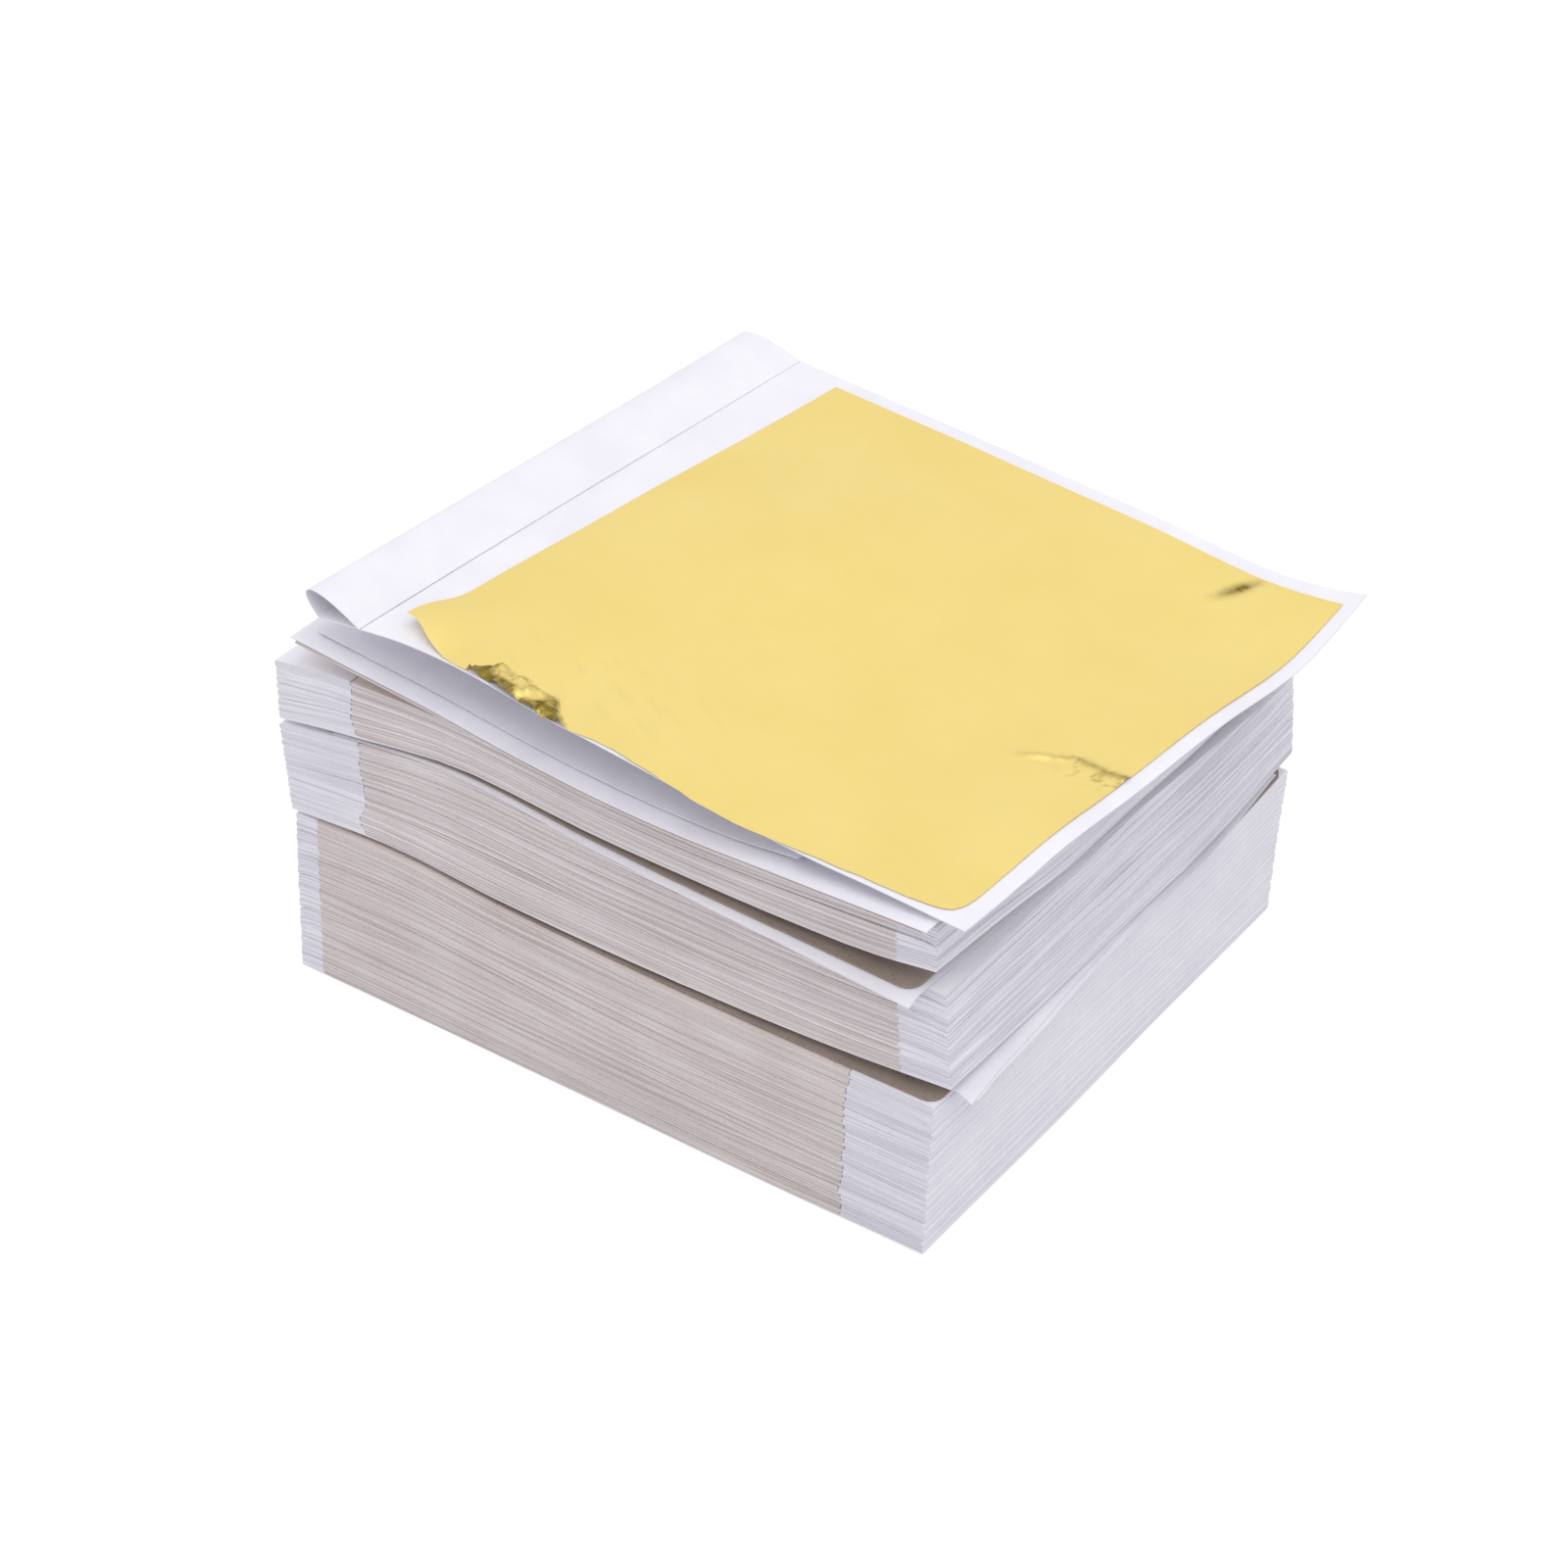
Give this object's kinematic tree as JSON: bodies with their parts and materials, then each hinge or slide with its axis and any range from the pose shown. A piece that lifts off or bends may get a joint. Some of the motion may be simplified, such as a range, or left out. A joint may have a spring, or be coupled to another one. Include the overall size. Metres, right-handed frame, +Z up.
{
  "type": "gold leaf booklet",
  "caption": "Loose stack of metal leaf folios: white tissue folders with brown backing sheets and thin gold-coloured leaves, the top folio lying open.",
  "frame": {"origin": "middle of the bottom bundle's footprint, on the surface that the stack rests on", "axes": "+Z up, +X along the folios towards the bottom bundle's creases, -Y towards the front face where the flaps are seen end on"},
  "size_m": [0.1106, 0.0889, 0.0641],
  "materials": {
    "tissue_paper": "matte, slightly translucent",
    "backing_paper": "matte, speckled",
    "gold_leaf": "satin, finely wrinkled"
  },
  "bodies": {
    "bottom_bundle": {"bottom_bundle_tissue_folders": "tissue_paper", "bottom_bundle_backing_sheets": "backing_paper", "bottom_bundle_gold_leaves": "gold_leaf"},
    "lower_loose_sheets": {"lower_loose_backing_sheet": "backing_paper", "lower_loose_tissue": "tissue_paper", "lower_loose_slip": "tissue_paper"},
    "middle_bundle": {"middle_bundle_tissue_folders": "tissue_paper", "middle_bundle_backing_sheets": "backing_paper", "middle_bundle_gold_leaves": "gold_leaf"},
    "upper_loose_sheets": {"upper_loose_tissue": "tissue_paper", "upper_loose_backing_sheet": "backing_paper"},
    "top_bundle": {"top_bundle_tissue_folders": "tissue_paper", "top_bundle_backing_sheets": "backing_paper", "top_bundle_gold_leaves": "gold_leaf"},
    "second_folio": {"second_folio_backing_sheet": "backing_paper", "second_folio_gold_leaf": "gold_leaf", "second_folio_tissue": "tissue_paper"},
    "cover_slip": {"cover_slip": "tissue_paper"},
    "top_folio": {"top_folio_tissue": "tissue_paper"},
    "top_folio_flap": {"top_folio_flap": "tissue_paper"},
    "top_gold_leaf": {"top_gold_leaf": "gold_leaf"}
  },
  "joints": [
    {"name": "lift_lower_loose_sheets", "type": "slide", "parent": "bottom_bundle", "child": "lower_loose_sheets", "axis": [0, 0, 1], "range_m": [0, 0.025]},
    {"name": "lift_middle_bundle", "type": "slide", "parent": "lower_loose_sheets", "child": "middle_bundle", "axis": [0, 0, 1], "range_m": [0, 0.025]},
    {"name": "lift_upper_loose_sheets", "type": "slide", "parent": "middle_bundle", "child": "upper_loose_sheets", "axis": [0, 0, 1], "range_m": [0, 0.025]},
    {"name": "lift_top_bundle", "type": "slide", "parent": "upper_loose_sheets", "child": "top_bundle", "axis": [0, 0, 1], "range_m": [0, 0.025]},
    {"name": "lift_second_folio", "type": "slide", "parent": "top_bundle", "child": "second_folio", "axis": [0, 0, 1], "range_m": [0, 0.025]},
    {"name": "lift_cover_slip", "type": "slide", "parent": "second_folio", "child": "cover_slip", "axis": [0, 0, 1], "range_m": [0, 0.025]},
    {"name": "lift_top_folio", "type": "slide", "parent": "cover_slip", "child": "top_folio", "axis": [0, 0, 1], "range_m": [0, 0.025]},
    {"name": "lift_top_gold_leaf", "type": "slide", "parent": "top_folio", "child": "top_gold_leaf", "axis": [0, 0, 1], "range_m": [0, 0.025]},
    {"name": "fold_top_folio_flap", "type": "hinge", "parent": "top_folio", "child": "top_folio_flap", "pos_m": [-0.04074, 0.00162, 0.05919], "axis": [-0.0488, -0.9988, -0.0007], "range_deg": [0, 165]}
  ]
}
